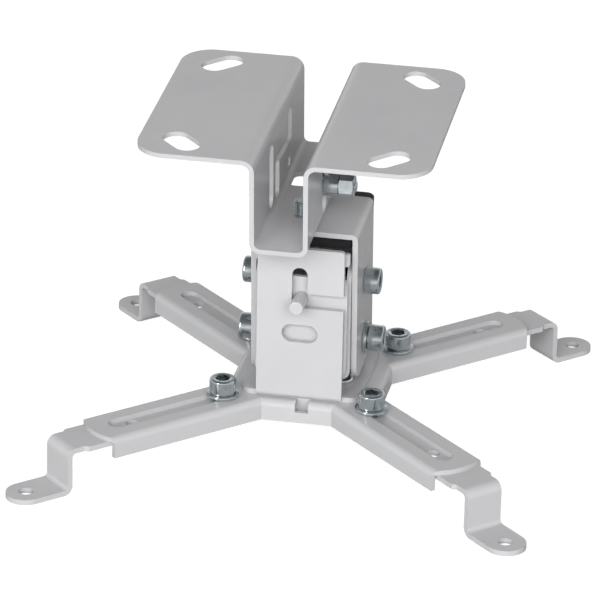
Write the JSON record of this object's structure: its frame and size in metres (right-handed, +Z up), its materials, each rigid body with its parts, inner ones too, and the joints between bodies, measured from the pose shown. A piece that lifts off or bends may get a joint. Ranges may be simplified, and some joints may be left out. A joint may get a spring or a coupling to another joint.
{
  "type": "projector ceiling mount",
  "caption": "Ceiling mount for a projector: hat-shaped ceiling bracket, swivelling and tilting tower with a hook-on release, and a spider of slotted arms with sliding feet.",
  "frame": {"origin": "middle of the four foot tongues, on the plane they stand on", "axes": "+Z up towards the ceiling, +X to the right, -Y to the front, where the long side of the channel opens"},
  "size_m": [0.1926, 0.1926, 0.1283],
  "materials": {
    "paint": "gloss",
    "zinc": "zinc plated",
    "black_plastic": "matte"
  },
  "bodies": {
    "base": {"spider": "paint", "base_bracket": "paint", "base_screws": "zinc", "base_nuts": "zinc"},
    "tilt_frame": {"tilt_bracket": "paint", "hook_pegs": "paint", "tilt_pivot_screws": "zinc", "tilt_pivot_washers": "zinc", "tilt_pivot_nuts": "zinc"},
    "yoke": {"swivel_yoke": "paint", "yoke_insert": "black_plastic", "tilt_clamp_screws": "zinc", "tilt_clamp_nuts": "zinc"},
    "ceiling": {"ceiling_bracket": "paint", "swivel_bolt": "zinc", "swivel_washer": "zinc", "side_bolt": "zinc", "side_spacer": "zinc", "side_nut": "zinc"},
    "foot_front_right": {"foot_front_right": "paint", "arm_screw_front_right": "zinc", "arm_washer_front_right": "zinc", "arm_nut_front_right": "zinc"},
    "foot_rear_right": {"foot_rear_right": "paint", "arm_screw_rear_right": "zinc", "arm_washer_rear_right": "zinc", "arm_nut_rear_right": "zinc"},
    "foot_rear_left": {"foot_rear_left": "paint", "arm_screw_rear_left": "zinc", "arm_washer_rear_left": "zinc", "arm_nut_rear_left": "zinc"},
    "foot_front_left": {"foot_front_left": "paint", "arm_screw_front_left": "zinc", "arm_washer_front_left": "zinc", "arm_nut_front_left": "zinc"}
  },
  "joints": [
    {"name": "hook_slide", "type": "slide", "parent": "base", "child": "tilt_frame", "axis": [0, 0, 1], "range_m": [0, 0.01]},
    {"name": "tilt", "type": "hinge", "parent": "tilt_frame", "child": "yoke", "pos_m": [0, 0, 0.03685], "axis": [1, 0, 0], "range_deg": [-12, 4]},
    {"name": "swivel", "type": "hinge", "parent": "yoke", "child": "ceiling", "pos_m": [-0.003, -0.01002, 0.08692], "axis": [0, -0.0698, 0.9976], "continuous": true},
    {"name": "slide_front_right", "type": "slide", "parent": "base", "child": "foot_front_right", "axis": [0.7071, -0.7071, 0], "range_m": [0, 0.045]},
    {"name": "slide_rear_right", "type": "slide", "parent": "base", "child": "foot_rear_right", "axis": [0.7071, 0.7071, 0], "range_m": [0, 0.045]},
    {"name": "slide_rear_left", "type": "slide", "parent": "base", "child": "foot_rear_left", "axis": [-0.7071, 0.7071, 0], "range_m": [0, 0.045]},
    {"name": "slide_front_left", "type": "slide", "parent": "base", "child": "foot_front_left", "axis": [-0.7071, -0.7071, 0], "range_m": [0, 0.045]}
  ]
}
